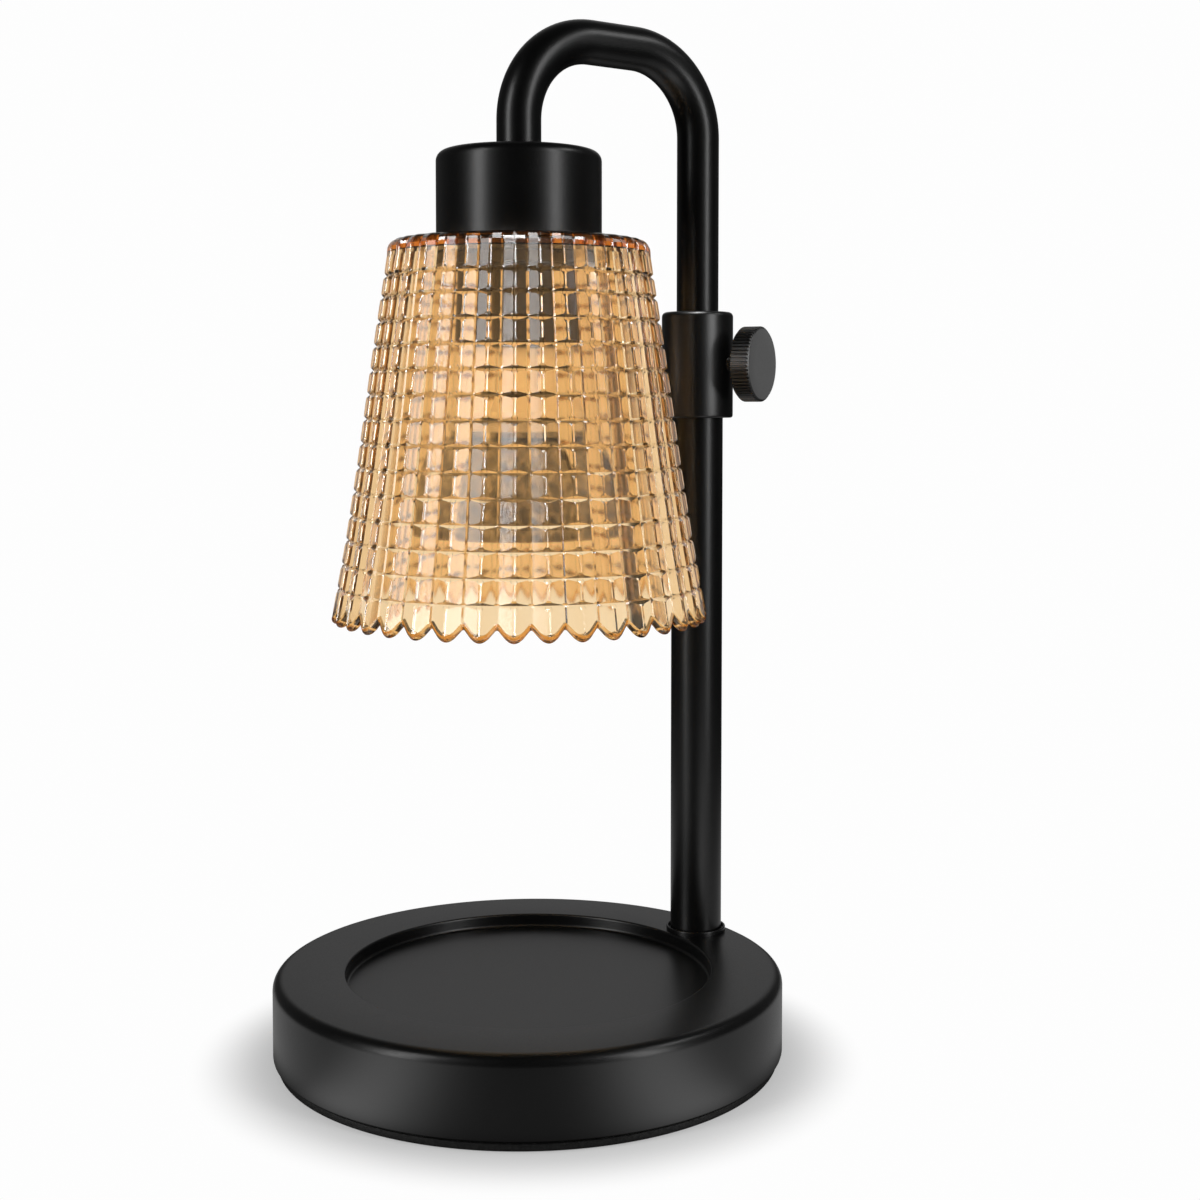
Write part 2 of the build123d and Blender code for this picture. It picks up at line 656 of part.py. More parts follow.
def bulb_reflector():
    """A bowl of even thickness with a plain rim and a roof with a hole for the capsule."""
    t = REFLECTOR_T
    bowl = [(BULB_NECK_R, BULB_NECK_Z), (21.2, 171.0), (BULB_R - 0.2, BULB_RIM_TOP_Z)]
    outer = ThreePointArc(*bowl)
    inner = ThreePointArc(*[(r - t, z) for r, z in reversed(bowl)])
    roof_z = REFLECTOR_TOP_Z - t
    lines = Polyline(
        bowl[2], (BULB_R, BULB_RIM_TOP_Z), (BULB_R, BULB_FACE_Z), (BULB_R - 0.95, BULB_FACE_Z),
        (BULB_R - 0.95, BULB_RIM_TOP_Z - 1), (BULB_R - 0.2 - t, BULB_RIM_TOP_Z),
    )
    crown = Polyline(
        (BULB_NECK_R - t, BULB_NECK_Z), (BULB_NECK_R - t, roof_z), (5.0, roof_z), (5.0, REFLECTOR_TOP_Z),
        (BULB_NECK_R, REFLECTOR_TOP_Z), bowl[0],
    )
    outline = make_face(outer.edges() + lines.edges() + inner.edges() + crown.edges())
    return Pos(0, HEAD_Y, 0) * revolve(Plane.XZ * outline, Axis.Z)


def bulb_lens():
    return turned([
        (0, BULB_FACE_Z + 0.4),
        (BULB_R - 4, BULB_FACE_Z + 0.4),
        (BULB_R - 2, BULB_FACE_Z),
        (BULB_R - 1, BULB_FACE_Z),
        (BULB_R - 1, BULB_FACE_Z + LENS_T),
        (0, BULB_FACE_Z + LENS_T),
    ], HEAD_AT)


def bulb_capsule():
    """A small bulb with a sealed tip below and a flat neck in the ceramic base above."""
    neck_top_z = REFLECTOR_TOP_Z + 10
    return turned([
        (0, CAPSULE_LOW_Z - 1.5),
        (1.0, CAPSULE_LOW_Z - 1.0),
        (CAPSULE_R, CAPSULE_LOW_Z, 2.5),
        (CAPSULE_R, CAPSULE_LOW_Z + 13, 2.0),
        (CAPSULE_NECK_R, CAPSULE_LOW_Z + 15, 0.5),
        (CAPSULE_NECK_R, neck_top_z),
        (0, neck_top_z),
    ], HEAD_AT)


PARTS = {
    "base_shell": base_shell,
    "bottom_cover": bottom_cover,
    "cover_screws": cover_screws,
    "weight_screws": weight_screws,
    "foot_pad": foot_pad,
    "base_weight": base_weight,
    "cord_grommet": cord_grommet,
    "terminal_block": terminal_block,
    "terminal_screws": terminal_screws,
    "base_lead": base_lead,
    "pole": pole,
    "pole_foot_ring": pole_foot_ring,
    "pole_plug": pole_plug,
    "pole_nipple": pole_nipple,
    "pole_washer": pole_washer,
    "pole_nut": pole_nut,
    "riser_lead": riser_lead,
    "collar": collar,
    "clamp_pad": clamp_pad,
    "knob_stud": knob_stud,
    "knob": knob,
    "hook_tube": hook_tube,
    "arm_lead": arm_lead,
    "guide_bush": guide_bush,
    "bush_clips": bush_clips,
    "head_cap": head_cap,
    "arm_plug": arm_plug,
    "head_nipple": head_nipple,
    "head_washer": head_washer,
    "head_nuts": head_nuts,
    "holder_bracket": holder_bracket,
    "holder_screws": holder_screws,
    "lamp_holder": lamp_holder,
    "holder_contacts": holder_contacts,
    "shade_glass": shade_glass,
    "shade_ring": shade_ring,
    "bulb_base": bulb_base,
    "bulb_pins": bulb_pins,
    "bulb_collar": bulb_collar,
    "bulb_reflector": bulb_reflector,
    "bulb_lens": bulb_lens,
    "bulb_capsule": bulb_capsule,
}

os.makedirs("parts", exist_ok=True)
for name, make in PARTS.items():
    made = make()
    solids = made if isinstance(made, list) else [made]
    node = Compound(label=name, children=[Part() + solid for solid in solids])
    export_step(node, f"parts/{name}.step")
    print(name, len(node.solids()), round(node.volume))
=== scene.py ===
"""Candle warmer lamp: finished surfaces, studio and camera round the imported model."""
import json
import math

import bmesh
import bpy
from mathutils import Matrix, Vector


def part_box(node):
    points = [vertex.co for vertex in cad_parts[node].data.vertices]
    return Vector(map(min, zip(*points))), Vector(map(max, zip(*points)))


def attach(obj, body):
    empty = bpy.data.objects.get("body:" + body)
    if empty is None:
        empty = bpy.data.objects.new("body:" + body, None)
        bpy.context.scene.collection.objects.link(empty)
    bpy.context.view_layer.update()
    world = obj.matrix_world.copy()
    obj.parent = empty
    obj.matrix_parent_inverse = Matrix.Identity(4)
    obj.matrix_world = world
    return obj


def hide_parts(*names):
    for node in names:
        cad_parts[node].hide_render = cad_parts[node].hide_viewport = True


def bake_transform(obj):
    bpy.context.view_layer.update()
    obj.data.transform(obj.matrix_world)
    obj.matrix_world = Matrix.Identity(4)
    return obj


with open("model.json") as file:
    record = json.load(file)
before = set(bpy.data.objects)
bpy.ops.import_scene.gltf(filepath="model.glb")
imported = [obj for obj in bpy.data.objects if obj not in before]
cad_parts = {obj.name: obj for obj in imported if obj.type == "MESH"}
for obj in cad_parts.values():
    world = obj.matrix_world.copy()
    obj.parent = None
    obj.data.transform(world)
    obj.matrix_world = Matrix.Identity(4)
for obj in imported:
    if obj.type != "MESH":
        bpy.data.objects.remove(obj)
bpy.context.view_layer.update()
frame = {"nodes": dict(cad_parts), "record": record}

MM = 0.001

# Places and sizes shared with the solids, in millimetres
POLE_Y = 63.6
HEAD_Y = -2.8
BASE_R = 75.0
BASE_TOP_Z = 25.5
TRAY_R = 53.9
TRAY_FLOOR_Z = 21.5
BASE_LOW_Z = 2.75
BASE_WALL = 1.8
INLET_Z = 11.0
INLET_R = 5.0
FOOT_R = 73.65
FOOT_H = 2.1
POLE_R = 8.0
POLE_BORE_R = 7.0
POLE_TOP_Z = 196.0
FOOT_RING_R = 9.3
FOOT_RING_H = 1.5
COLLAR_R = 11.1
COLLAR_LOW_Z = 187.8
COLLAR_TOP_Z = 220.6
GAP = 0.05
KNOB_Z = 204.3
KNOB_BEARING = 26.5
TUBE_R = 6.5
TUBE_BORE_R = 5.3
TUBE_LOW_Z = 125.0
TUBE_AXIS_TOP_Z = 299.0
BEND_R = 25.0
CAP_R = 24.0
CAP_WALL = 1.5
CAP_HOLE_R = 4.05
CAP_TOP_Z = 265.0
SHADE_TOP_Z = 239.3
BULB_FACE_Z = 153.6
BULB_R = 25.0

# The camera looks this way, and the soft boxes stand either side of it
VIEW_BEARING = 54.174

# The studio's brightness: white for the eye, panels for the glass, a dark room for the gloss, and the floor.
# FLOOR_NEAR, FLOOR_FAR and FLOOR_GLOSS_NEAR are distances from the lamp's axis in metres. FLOOR_GLOSS_FAR
# says from where to where the mirrored floor falls off, and to what share
WHITE = 0.985
WORLD_FILL = 0.30
FRONT_PANEL_RADIANCE = 0.2
REAR_PANEL_RADIANCE = 0.6
CELL_RADIANCE = 6.5
COMB_RADIANCE = 20.0
BAR_RADIANCE = 12.0
PANELS = 6
PANEL_DIM = 0.88
INNER_DARK = 0.42
GLOSS_LIFT = 28.0
GLOSS_FRONT = 0.006
GLOSS_BACK = 0.07
GLOSS_PALE = 0.30
FLOOR_GREY = 0.75
FLOOR_NEAR = 0.074
FLOOR_FAR = 0.100
FLOOR_LIFT = 0.35
# The mirrored floor is painted light and shade: brighter than white at the sides (FLOOR_GLOSS_SIDE) to paint
# highlights on the base's side, and dark round the foot out to FLOOR_GLOSS_NEAR as a painted shadow
FLOOR_GLOSS_FRONT = 0.22
FLOOR_GLOSS_SIDE = 1.7
FLOOR_GLOSS_BACK = 0.42
FLOOR_GLOSS_NEAR = 0.086
FLOOR_GLOSS_FAR = (0.18, 0.45, 0.05)


# ---------------------------------------------------------------- node helpers

def new_material(name):
    """A fresh node material and its one surface shader."""
    material = bpy.data.materials.new(name)
    material.use_nodes = True
    return material, material.node_tree, material.node_tree.nodes["Principled BSDF"]


def add(tree, kind, **settings):
    """A node with its properties and input values set by name."""
    node = tree.nodes.new(kind)
    for key, value in settings.items():
        if key in node.inputs:
            node.inputs[key].default_value = value
        else:
            setattr(node, key, value)
    return node


def noise(tree, scale, detail=3.0, roughness=0.55, stretch=(1.0, 1.0, 1.0)):
    """Noise in the piece's own coordinates. Scale is in features per metre."""
    coordinates = add(tree, "ShaderNodeTexCoord")
    mapping = add(tree, "ShaderNodeMapping", Scale=stretch)
    texture = add(tree, "ShaderNodeTexNoise", Scale=scale, Detail=detail, Roughness=roughness)
    tree.links.new(coordinates.outputs["Object"], mapping.inputs["Vector"])
    tree.links.new(mapping.outputs["Vector"], texture.inputs["Vector"])
    return texture.outputs["Fac"]


def spread(tree, value, low, high):
    """A noise value, most of which lie from 0.3 to 0.7, carried to the range low to high."""
    node = add(tree, "ShaderNodeMapRange")
    node.inputs["From Min"].default_value = 0.3
    node.inputs["From Max"].default_value = 0.7
    node.inputs["To Min"].default_value = low
    node.inputs["To Max"].default_value = high
    tree.links.new(value, node.inputs["Value"])
    return node.outputs["Result"]


def shade_between(tree, value, dark, light):
    """A colour that runs from dark to light with the value."""
    mix = add(tree, "ShaderNodeMix", data_type="RGBA")
    for socket in mix.inputs:
        if socket.name == "A" and socket.type == "RGBA":
            socket.default_value = (*dark, 1)
        if socket.name == "B" and socket.type == "RGBA":
            socket.default_value = (*light, 1)
    tree.links.new(spread(tree, value, 0.0, 1.0), mix.inputs["Factor"])
    return next(s for s in mix.outputs if s.type == "RGBA")


def bump(tree, surface, heights, distance):
    """Relief on the surface, distance metres deep."""
    node = add(tree, "ShaderNodeBump", Strength=1.0, Distance=distance)
    tree.links.new(heights, node.inputs["Height"])
    tree.links.new(node.outputs["Normal"], surface.inputs["Normal"])


def finish_of(name, dark, light, rough, grain, grain_depth,
              patch=60.0, metallic=0.0, stretch=(1.0, 1.0, 1.0)):
    """A solid finish: colour and roughness vary in soft patches, and a fine grain stands in relief."""
    material, tree, surface = new_material(name)
    soft = noise(tree, patch, 4.0)
    fine = noise(tree, grain, 2.0, 0.6, stretch)
    tree.links.new(shade_between(tree, soft, dark, light), surface.inputs["Base Color"])
    tree.links.new(spread(tree, fine, rough[0], rough[1]), surface.inputs["Roughness"])
    surface.inputs["Metallic"].default_value = metallic
    bump(tree, surface, fine, grain_depth)
    return material


# ---------------------------------------------------------------- materials

GLASS_IOR = 1.5
GLASS_TINT = (0.965, 0.755, 0.48)
# The rim's tint is painted shade: a deeper amber that stands in for the long path of light through its
# rounded glass
RIM_PAINTED_DEPTH_TINT = (0.86, 0.51, 0.19)
GLASS_DEPTH_TINT = (0.90, 0.64, 0.20)
GLASS_DENSITY = 70.0


def make_materials():
    """One finish for each of the record's material slots."""
    return {
        "black_coat": finish_of("satin_black_coat", (0.0006, 0.0006, 0.0006), (0.0018, 0.0018, 0.0018),
                                (0.29, 0.36), 2600.0, 0.000010),
        "black_knob": finish_of("satin_black_knob", (0.004, 0.004, 0.004), (0.008, 0.008, 0.008),
                                (0.34, 0.42), 3200.0, 0.000008),
        "black_rubber": finish_of("black_rubber", (0.001, 0.001, 0.001), (0.010, 0.0095, 0.009),
                                  (0.62, 0.85), 1400.0, 0.00012, 900.0),
        "zinc_steel": finish_of("zinc_plate", (0.50, 0.50, 0.48), (0.62, 0.62, 0.60),
                                (0.26, 0.40), 900.0, 0.00001, 120.0, 1.0, (1.0, 1.0, 8.0)),
        "iron": finish_of("cast_iron", (0.06, 0.06, 0.058), (0.14, 0.135, 0.13),
                          (0.55, 0.75), 700.0, 0.00025, 150.0, 0.6),
        "brass": finish_of("brass", (0.66, 0.47, 0.20), (0.80, 0.60, 0.30),
                           (0.20, 0.34), 1200.0, 0.00001, 150.0, 1.0),
        "lead_sheath": finish_of("lead_sheath", (0.018, 0.018, 0.018), (0.032, 0.031, 0.030),
                                 (0.42, 0.55), 900.0, 0.00003),
        "pale_plastic": finish_of("pale_moulding", (0.70, 0.69, 0.64), (0.80, 0.79, 0.75),
                                  (0.38, 0.50), 1500.0, 0.00001),
        "dark_plastic": finish_of("dark_moulding", (0.020, 0.017, 0.015), (0.034, 0.029, 0.025),
                                  (0.40, 0.52), 1500.0, 0.00002),
        "chrome": finish_of("bright_chrome", (0.72, 0.72, 0.73), (0.80, 0.80, 0.80),
                            (0.08, 0.16), 700.0, 0.000002, 90.0, 1.0),
        "white_ceramic": finish_of("white_ceramic", (0.86, 0.83, 0.77), (0.93, 0.91, 0.86),
                                   (0.34, 0.46), 1800.0, 0.000015),
        "silvered_glass": finish_of("silvered_facets", (0.16, 0.165, 0.17), (0.58, 0.585, 0.59),
                                    (0.10, 0.20), 400.0, 0.000004, 260.0, 1.0),
        "amber_glass": amber_glass("amber_glass", GLASS_TINT),
        "clear_glass": clear_glass(),
    }


def amber_glass(name, tint):
    """Pressed glass, coloured partly at its surface and partly through its thickness."""
    material, tree, surface = new_material(name)
    surface.inputs["Base Color"].default_value = (*tint, 1)
    surface.inputs["Transmission Weight"].default_value = 1.0
    surface.inputs["IOR"].default_value = GLASS_IOR
    tree.links.new(spread(tree, noise(tree, 90.0), 0.07, 0.10), surface.inputs["Roughness"])
    bump(tree, surface, noise(tree, 140.0, 2.0), 0.00002)
    colour = add(tree, "ShaderNodeVolumeAbsorption", Color=(*GLASS_DEPTH_TINT, 1), Density=GLASS_DENSITY)
    tree.links.new(colour.outputs["Volume"], tree.nodes["Material Output"].inputs["Volume"])
    return material


def clear_glass():
    """Plain glass with the slightest waviness."""
    material, tree, surface = new_material("clear_glass")
    surface.inputs["Base Color"].default_value = (0.97, 0.985, 0.98, 1)
    surface.inputs["Transmission Weight"].default_value = 1.0
    surface.inputs["IOR"].default_value = GLASS_IOR
    tree.links.new(spread(tree, noise(tree, 200.0), 0.0, 0.03), surface.inputs["Roughness"])
    bump(tree, surface, noise(tree, 300.0, 2.0), 0.00001)
    return material


# ---------------------------------------------------------------- shape helpers

def arc(centre, start, turn, steps):
    """Points on an arc that begins at start and turns by turn radians about centre."""
    points = []
    for k in range(steps + 1):
        a = turn * k / steps
        x, y = start[0] - centre[0], start[1] - centre[1]
        points.append((
            centre[0] + x * math.cos(a) - y * math.sin(a),
            centre[1] + x * math.sin(a) + y * math.cos(a),
        ))
    return points


def rounded(corners, steps=6):
    """The points of an outline of (x, y) corners. A third value rounds that corner with an arc."""
    points = []
    for i, corner in enumerate(corners):
        if len(corner) < 3:
            points.append(tuple(corner))
            continue
        here = Vector(corner[:2])
        before = (Vector(corners[i - 1][:2]) - here).normalized()
        after = (Vector(corners[(i + 1) % len(corners)][:2]) - here).normalized()
        half = before.angle(after) / 2
        centre = here + (before + after).normalized() * (corner[2] / math.sin(half))
        start = here + before * (corner[2] / math.tan(half))
        turn = math.pi - 2 * half
        if before.x * after.y - before.y * after.x > 0:
            turn = -turn
        points += arc(centre, start, turn, steps)
    return points


def make_piece(name, verts, faces, slot, body, replaces=(), crease=35.0):
    """A mesh object from points in millimetres, smooth but for edges sharper than crease degrees. It rides on
    the body, or on none when no body is given."""
    mesh = bpy.data.meshes.new(name)
    mesh.from_pydata([[c * MM for c in v] for v in verts], [], faces)
    tidy = bmesh.new()
    tidy.from_mesh(mesh)
    bmesh.ops.recalc_face_normals(tidy, faces=tidy.faces)
    tidy.to_mesh(mesh)
    tidy.free()
    mesh.shade_smooth()
    mesh.set_sharp_from_angle(angle=math.radians(crease))
    mesh.materials.append(materials[slot])
    obj = bpy.data.objects.new(name, mesh)
    bpy.context.scene.collection.objects.link(obj)
    if body:
        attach(obj, body)
    if replaces:
        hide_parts(*replaces)
    return obj


def strips(rings, closed=False):
    """Faces between neighbouring rings of point numbers. A ring of one point is a pole of the surface."""
    faces = []
    pairs = list(zip(rings, rings[1:]))
    if closed:
        pairs.append((rings[-1], rings[0]))
    for low, high in pairs:
        count = max(len(low), len(high))
        for i in range(count):
            j = (i + 1) % count
            corners = [low[i % len(low)], low[j % len(low)], high[j % len(high)], high[i % len(high)]]
            kept = [c for k, c in enumerate(corners) if c != corners[k - 1]]
            if len(kept) > 2:
                faces.append(kept)
    return faces


def turned(name, corners, slot, body, replaces=(), at=(0.0, 0.0), segments=192, steps=6, crease=35.0):
    """An outline of (radius, z) corners turned about a vertical axis."""
    verts, rings = [], []
    for r, z in rounded(corners, steps):
        count = 1 if r < 1e-6 else segments
        rings.append(list(range(len(verts), len(verts) + count)))
        for i in range(count):
            a = 2 * math.pi * i / segments
            verts.append((at[0] + r * math.cos(a), at[1] + r * math.sin(a), z))
    closed = len(rings[0]) > 1 or len(rings[-1]) > 1
    return make_piece(name, verts, strips(rings, closed), slot, body, replaces, crease)


# ---------------------------------------------------------------- base and pole

def make_base():
    """The pressed base with its sunk tray, as one skin of even thickness, and the cord's hole in its back."""
    wall = BASE_WALL
    base = turned("base_skin", [
        (0, TRAY_FLOOR_Z - wall),
        (TRAY_R + wall, TRAY_FLOOR_Z - wall),
        (TRAY_R + wall, BASE_TOP_Z - wall),
        (BASE_R - wall, BASE_TOP_Z - wall, 1.5),
        (BASE_R - wall, BASE_LOW_Z),
        (BASE_R, BASE_LOW_Z, 0.6),
        (BASE_R, BASE_TOP_Z, 3.3),
        (TRAY_R, BASE_TOP_Z, 0.7),
        (TRAY_R, TRAY_FLOOR_Z, 0.9),
        (0, TRAY_FLOOR_Z),
    ], "black_coat", "stand", ["base_shell"], segments=256, steps=8)
    # The drill is turned a little about its axis, so that none of its edges meets one of the skin's
    bpy.ops.mesh.primitive_cylinder_add(
        radius=INLET_R * MM, depth=8 * MM, location=(0, BASE_R * MM, INLET_Z * MM),
        rotation=(math.pi / 2, math.pi / 50, 0))
    drill = bpy.context.object
    cut = base.modifiers.new("inlet", "BOOLEAN")
    cut.operation = "DIFFERENCE"
    cut.object = drill
    graph = bpy.context.evaluated_depsgraph_get()
    drilled = bpy.data.meshes.new_from_object(base.evaluated_get(graph))
    base.modifiers.clear()
    base.data = drilled
    bpy.data.objects.remove(drill)


def make_foot():
    """The rubber pad under the base."""
    turned("foot_rubber", [(0, 0), (FOOT_R, 0, 0.5), (FOOT_R, FOOT_H, 0.35), (0, FOOT_H)],
           "black_rubber", "stand", ["foot_pad"], segments=256)


def make_pole():
    """The pole's tube, and the ring with a rolled lip round its foot."""
    at = (0.0, POLE_Y)
    turned("pole_tube", [
        (POLE_BORE_R, BASE_TOP_Z),
        (POLE_R, BASE_TOP_Z),
        (POLE_R, POLE_TOP_Z),
        (POLE_BORE_R, POLE_TOP_Z),
    ], "black_coat", "stand", ["pole"], at, 128)
    lip_top, lip_w, lip_round, floor = BASE_TOP_Z + FOOT_RING_H, 0.68, 0.32, BASE_TOP_Z + 0.5
    turned("pole_foot_rim", [
        (POLE_R + GAP, BASE_TOP_Z),
        (FOOT_RING_R, BASE_TOP_Z),
        (FOOT_RING_R, lip_top, lip_round),
        (FOOT_RING_R - lip_w, lip_top, lip_round),
        (FOOT_RING_R - lip_w, floor),
        (POLE_R + GAP, floor),
    ], "black_coat", "stand", ["pole_foot_ring"], at, 128)


def make_riser():
    """The springy coil of lead inside the pole, which on the lamp stretches and shortens as the hook slides.
    Here it is built once, on no body.
    """
    turns, steps, sides, wire_r, inlet = 14, 28, 10, 1.2, 4.0
    low, high = ([c / MM for c in corner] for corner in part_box("riser_lead"))
    coil_r = (high[0] - low[0]) / 2 - wire_r
    centre = Vector((0, POLE_Y, 0))
    line = [centre + Vector((0, 0, low[2]))]
    for i in range(turns * steps + 1):
        turned_by = i / steps
        spread_out = min(1.0, turned_by, turns - turned_by)
        r = coil_r * spread_out * spread_out * (3 - 2 * spread_out)
        a = 2 * math.pi * turned_by
        z = low[2] + inlet + (high[2] - low[2] - 2 * inlet) * turned_by / turns
        line.append(centre + Vector((r * math.cos(a), r * math.sin(a), z)))
    line.append(centre + Vector((0, 0, high[2])))
    across = Vector((1, 0, 0))
    verts, rings = [], []
    for i, here in enumerate(line):
        along = (line[min(i + 1, len(line) - 1)] - line[max(i - 1, 0)]).normalized()
        across = (across - along * across.dot(along)).normalized()
        other = along.cross(across)
        rings.append(list(range(len(verts), len(verts) + sides)))
        for k in range(sides):
            a = 2 * math.pi * k / sides
            verts.append(here + across * (wire_r * math.cos(a)) + other * (wire_r * math.sin(a)))
    faces = strips(rings) + [rings[0], rings[-1]]
    coil = make_piece("riser_coil", verts, faces, "lead_sheath", None, ["riser_lead"])
    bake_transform(coil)


def make_collar():
    """The sleeve on the pole's end, with rounded edges."""
    return turned("collar_sleeve", [
        (POLE_R + GAP, COLLAR_LOW_Z),
        (COLLAR_R, COLLAR_LOW_Z, 0.8),
        (COLLAR_R, COLLAR_TOP_Z, 1.5),
        (TUBE_R + GAP, COLLAR_TOP_Z, 0.45),
        (TUBE_R + GAP, POLE_TOP_Z),
        (POLE_R + GAP, POLE_TOP_Z),
    ], "black_coat", "stand", ["collar"], (0.0, POLE_Y), 128)


# ---------------------------------------------------------------- thumb screw

def make_knob():
    """A low disc whose rim is cut with straight square teeth between two plain bevels. The screw's end sits
    in a socket in its back."""
    teeth, tip_r, root_r, socket_r = 60, 11.55, 11.05, 2.55
    back, socket, front = 15.5, 20.5, 22.0
    bearing = math.radians(KNOB_BEARING)
    out = Vector((math.cos(bearing), math.sin(bearing), 0))
    side = Vector((-math.sin(bearing), math.cos(bearing), 0))
    up = Vector((0, 0, 1))
    centre = Vector((0, POLE_Y, KNOB_Z))
    # (radius, distance along the axis, whether the row has teeth), from the socket round to the face's middle
    rows = [
        (0, socket, False),
        (socket_r, socket, False),
        (socket_r, back, False),
        (root_r - 0.35, back, False),
        (root_r, back + 0.35, False),
        (tip_r, back + 0.8, True),
        (tip_r, front - 0.6, True),
        (root_r + 0.1, front - 0.3, False),
        (root_r - 0.2, front - 0.04, False),
        (root_r - 0.55, front, False),
        (6.0, front, False),
        (0, front, False),
    ]
    # The corners of a tooth and the gap after it, as shares of one step
    corners = ((0.0, True), (0.46, True), (0.56, False), (0.90, False))
    verts, rings = [], []
    step = 2 * math.pi / teeth
    for radius, along, toothed in rows:
        if radius == 0:
            rings.append([len(verts)])
            verts.append(centre + out * along)
            continue
        rings.append(list(range(len(verts), len(verts) + len(corners) * teeth)))
        for i in range(teeth):
            for share, on_tip in corners:
                a = (i + share) * step
                r = radius if on_tip or not toothed else root_r
                verts.append(centre + out * along + side * (r * math.cos(a)) + up * (r * math.sin(a)))
    return make_piece("knob_head", verts, strips(rings), "black_knob", "thumb_screw", ["knob"], 25.0)


# ---------------------------------------------------------------- hook

def hook_line(low_z, front_z):
    """(y, z) of the hook's axis: up the pole, over two bends, and down the head's axis."""
    top, bend = TUBE_AXIS_TOP_Z, BEND_R
    points = [(POLE_Y, low_z), (POLE_Y, 220.0)]
    points += arc((POLE_Y - bend, top - bend), (POLE_Y, top - bend), math.pi / 2, 32)
    points += arc((HEAD_Y + bend, top - bend), (HEAD_Y + bend, top), math.pi / 2, 32)
    return points + [(HEAD_Y, front_z)]


def swept(name, line, radii, slot, body, replaces, segments=96):
    """A tube with an outer and an inner radius along a line in the middle plane."""
    verts, shells = [], []
    for radius in radii:
        rings = []
        for i, (y, z) in enumerate(line):
            y0, z0 = line[max(i - 1, 0)]
            y1, z1 = line[min(i + 1, len(line) - 1)]
            ahead = Vector((y1 - y0, z1 - z0)).normalized()
            rings.append(list(range(len(verts), len(verts) + segments)))
            for k in range(segments):
                a = 2 * math.pi * k / segments
                across = radius * math.sin(a)
                verts.append((radius * math.cos(a), y - ahead.y * across, z + ahead.x * across))
        shells.append(rings)
    outer, inner = shells
    faces = strips(outer + inner[::-1], True)
    return make_piece(name, verts, faces, slot, body, replaces)


def make_hook():
    """The bent tube."""
    line = hook_line(TUBE_LOW_Z, CAP_TOP_Z)
    swept("hook", line, (TUBE_R, TUBE_BORE_R), "black_coat", "arm", ["hook_tube"])


def make_cap():
    """The cup over the shade's top."""
    turned("cap_cup", [
        (CAP_HOLE_R, CAP_TOP_Z),
        (CAP_R, CAP_TOP_Z, 3.0),
        (CAP_R, SHADE_TOP_Z, 0.25),
        (CAP_R - CAP_WALL, SHADE_TOP_Z, 0.25),
        (CAP_R - CAP_WALL, CAP_TOP_Z - CAP_WALL, 1.5),
        (CAP_HOLE_R, CAP_TOP_Z - CAP_WALL),
    ], "black_coat", "arm", ["head_cap"], (0.0, HEAD_Y), 192, 8)


# ---------------------------------------------------------------- glass shade

RIBS = 36
RIB_SHARE = 0.02
GLASS_T = 3.5
BAND_GROOVE_Z = 228.8
FIRST_ROW_Z = 222.7
ROW_PITCH = 6.98
ROWS = 13
GROOVE_ROWS = [FIRST_ROW_Z - row * ROW_PITCH for row in range(ROWS)]
GROOVE_DEPTH = 1.15
GROOVE_HALF_W = 1.05
# Ridge radius of the outside at each height, from the lower edge up to the roof. It bends at grooves only
SHADE_LEVELS = (
    (129.0, 55.0), (GROOVE_ROWS[10], 50.6), (GROOVE_ROWS[7], 47.3), (GROOVE_ROWS[2], 42.3),
    (BAND_GROOVE_Z, 39.15), (235.0, 38.2), (238.0, 36.9), (SHADE_TOP_Z, 34.0),
)
SHADE_LOW_Z = SHADE_LEVELS[0][0]
# The lower edge's wave: its depth, and the shares of a facet that its tips' and valleys' arcs take
SCALLOP_DEPTH = 3.4
TIP_SHARE = 0.62
CUSP_SHARE = 0.12
# The rim bead's height, and how far above its line the shade and the first flat cells begin
RIM_ROUND = 1.9
RIM_GAP = 0.02
RIM_LINE = 0.25
# The fine upright grooves, and how much the cells' corners are cut
LIP_HALF_W = 0.42
LIP_DEPTH = 0.28
CORNER = 0.5
ROOF_T = 3.5
ROOF_R = 38.2
HOLE_R = 14.5
SHOULDER_R = 3.3
SHOULDER_STEPS = 5
BAND_TOP_Z = 234.6


def ridge_radius(z):
    """The outside's ridge radius at height z."""
    for (low_z, low_r), (high_z, high_r) in zip(SHADE_LEVELS, SHADE_LEVELS[1:]):
        if z <= high_z:
            return low_r + (high_r - low_r) * (z - low_z) / (high_z - low_z)
    return SHADE_LEVELS[-1][1]


def facet_radius(z, share):
    """Radius on the flat facet between a valley (share 0) and a ridge (share 1)."""
    half = math.pi / RIBS
    ridge = ridge_radius(z)
    x0 = ridge * (1 - RIB_SHARE)
    x1, y1 = ridge * math.cos(half), ridge * math.sin(half)
    a = half * share
    return x0 * y1 / (y1 * math.cos(a) - (x1 - x0) * math.sin(a))


def scallop(share):
    """How far the lower edge lies above the ridges' tips: a broad arc at each tip, a tight one at each
    valley."""
    across = 1 - share
    slope = SCALLOP_DEPTH / (1 - TIP_SHARE / 2 - CUSP_SHARE / 2)
    if across < TIP_SHARE:
        return slope * across ** 2 / (2 * TIP_SHARE)
    if share < CUSP_SHARE:
        return SCALLOP_DEPTH - slope * share ** 2 / (2 * CUSP_SHARE)
    return slope * (across - TIP_SHARE / 2)


